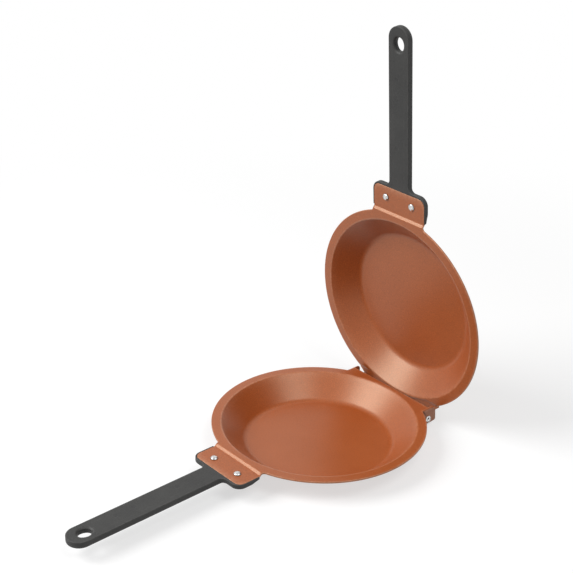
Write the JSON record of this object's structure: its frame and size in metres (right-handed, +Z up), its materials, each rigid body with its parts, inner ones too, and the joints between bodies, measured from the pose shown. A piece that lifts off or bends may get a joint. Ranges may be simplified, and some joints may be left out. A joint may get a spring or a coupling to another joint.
{
  "type": "double sided flip pan",
  "caption": "Copper-coloured double sided pan: two shallow pressed pans joined by a riveted hinge, each with a flat black moulded handle, shown open.",
  "frame": {"origin": "centre of the lower pan's flat underside", "axes": "+Z up, the handles towards -Y, the hinge at +Y with its axis along X"},
  "size_m": [0.194, 0.3903, 0.3713],
  "materials": {
    "coated_sheet": "satin copper-coloured non-stick coating on pressed sheet",
    "handle_plastic": "matt black moulded heat-resistant plastic, fine grain",
    "rivet_metal": "bright",
    "washer_steel": "plain"
  },
  "bodies": {
    "lower": {"lower_pan": "coated_sheet", "lower_handle": "handle_plastic", "lower_handle_rivet_left": "rivet_metal", "lower_handle_rivet_right": "rivet_metal", "lower_burr_washer_left": "washer_steel", "lower_burr_washer_right": "washer_steel", "hinge_rivet_left": "rivet_metal", "hinge_rivet_right": "rivet_metal", "hinge_washer_left": "washer_steel", "hinge_washer_right": "washer_steel"},
    "lid": {"upper_pan": "coated_sheet", "upper_handle": "handle_plastic", "upper_handle_rivet_left": "rivet_metal", "upper_handle_rivet_right": "rivet_metal", "upper_burr_washer_left": "washer_steel", "upper_burr_washer_right": "washer_steel"}
  },
  "joints": [
    {"name": "lid_hinge", "type": "hinge", "parent": "lower", "child": "lid", "pos_m": [0, 0.0912, 0.0111], "axis": [1, 0, 0], "range_deg": [0, 85]}
  ]
}
